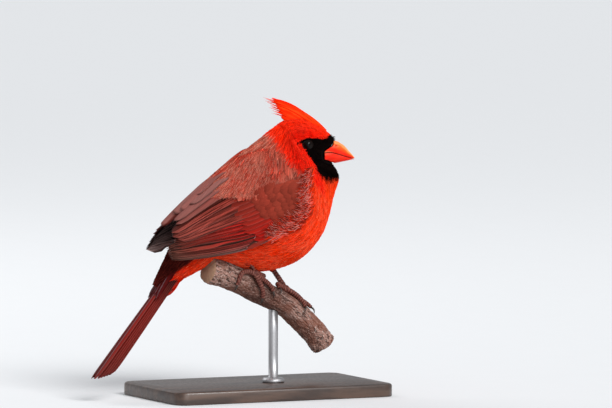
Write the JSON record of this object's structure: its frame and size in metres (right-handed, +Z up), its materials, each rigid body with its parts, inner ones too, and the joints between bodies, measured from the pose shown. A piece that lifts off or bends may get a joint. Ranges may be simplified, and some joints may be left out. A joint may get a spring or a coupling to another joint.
{
  "type": "male northern cardinal display model",
  "caption": "Still, life-size model of a male northern cardinal gripping a cut length of branch, held up by a flat display stand with one rod.",
  "frame": {"origin": "centre of the underside of the stand's flat base", "axes": "+X the way the bird's body faces, +Y its left side, +Z up"},
  "size_m": [0.1889, 0.09, 0.1873],
  "materials": {
    "body_plumage": "soft overlapping red feathers, black round the bill",
    "wing_feathers": "smooth dull red feathers with gray-brown edges",
    "tail_feathers": "smooth dark red feathers",
    "bill": "smooth orange-red horn, satin",
    "eyes": "polished dark brown",
    "leg_skin": "dull reddish-brown scaly skin",
    "claws": "dark horn",
    "branch_wood": "weathered gray-brown branch",
    "stand_wood": "dark satin wood",
    "stand_metal": "satin steel"
  },
  "bodies": {
    "root": {"bill_lower": "bill", "bill_upper": "bill", "claw_left_1": "claws", "claw_left_2": "claws", "claw_left_3": "claws", "claw_left_4": "claws", "claw_right_1": "claws", "claw_right_2": "claws", "claw_right_3": "claws", "claw_right_4": "claws", "eye_left": "eyes", "eye_right": "eyes", "foot_left": "leg_skin", "foot_right": "leg_skin", "head": "body_plumage", "neck": "body_plumage", "perch": "branch_wood", "stand_base": "stand_wood", "stand_rod": "stand_metal", "tail": "tail_feathers", "tarsus_left": "leg_skin", "tarsus_right": "leg_skin", "thigh_left": "body_plumage", "thigh_right": "body_plumage", "torso": "body_plumage", "wing_left": "wing_feathers", "wing_right": "wing_feathers"}
  },
  "joints": []
}
